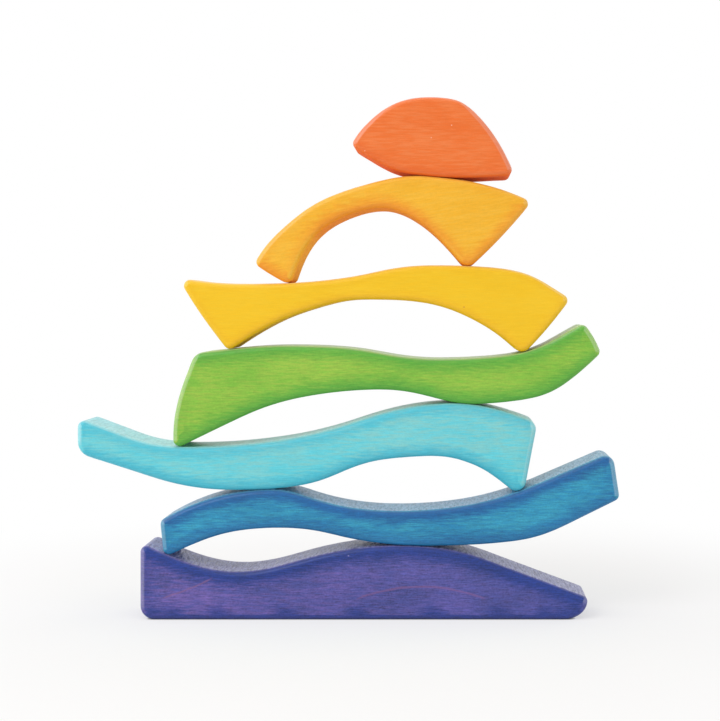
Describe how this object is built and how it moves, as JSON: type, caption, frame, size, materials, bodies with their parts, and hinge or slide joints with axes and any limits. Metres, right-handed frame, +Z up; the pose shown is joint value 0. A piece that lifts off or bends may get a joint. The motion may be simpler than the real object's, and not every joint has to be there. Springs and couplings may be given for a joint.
{
  "type": "rainbow stacker",
  "caption": "Wooden balancing stacker: loose wavy blocks in rainbow colours, each resting on the curves of the block below, from a flat-bottomed base up to a small rounded sun.",
  "frame": {"origin": "centre of the base's flat underside, midway between its ends and between its front and back", "axes": "+X along the base towards its low nose, +Y through the thickness of the blocks, from front to back, +Z up through the stack"},
  "size_m": [0.3022, 0.035, 0.2914],
  "materials": {
    "indigo_stained_wood": "water-stained and oiled, satin, grain showing through",
    "blue_stained_wood": "water-stained and oiled, satin, grain showing through",
    "turquoise_stained_wood": "water-stained and oiled, satin, grain showing through",
    "green_stained_wood": "water-stained and oiled, satin, grain showing through",
    "yellow_stained_wood": "water-stained and oiled, satin, grain showing through",
    "amber_stained_wood": "water-stained and oiled, satin, grain showing through",
    "orange_stained_wood": "water-stained and oiled, satin, grain showing through"
  },
  "bodies": {
    "indigo_base": {"indigo_base": "indigo_stained_wood"},
    "blue_wave": {"blue_wave": "blue_stained_wood"},
    "turquoise_wave": {"turquoise_wave": "turquoise_stained_wood"},
    "green_hill": {"green_hill": "green_stained_wood"},
    "yellow_bridge": {"yellow_bridge": "yellow_stained_wood"},
    "amber_arch": {"amber_arch": "amber_stained_wood"},
    "orange_sun": {"orange_sun": "orange_stained_wood"}
  },
  "joints": [
    {"name": "blue_lift", "type": "slide", "parent": "indigo_base", "child": "blue_wave", "axis": [0, 0, 1], "range_m": [0, 0.05]},
    {"name": "turquoise_lift", "type": "slide", "parent": "blue_wave", "child": "turquoise_wave", "axis": [0, 0, 1], "range_m": [0, 0.05]},
    {"name": "green_lift", "type": "slide", "parent": "turquoise_wave", "child": "green_hill", "axis": [0, 0, 1], "range_m": [0, 0.05]},
    {"name": "yellow_lift", "type": "slide", "parent": "green_hill", "child": "yellow_bridge", "axis": [0, 0, 1], "range_m": [0, 0.05]},
    {"name": "amber_lift", "type": "slide", "parent": "yellow_bridge", "child": "amber_arch", "axis": [0, 0, 1], "range_m": [0, 0.05]},
    {"name": "orange_lift", "type": "slide", "parent": "amber_arch", "child": "orange_sun", "axis": [0, 0, 1], "range_m": [0, 0.05]}
  ]
}
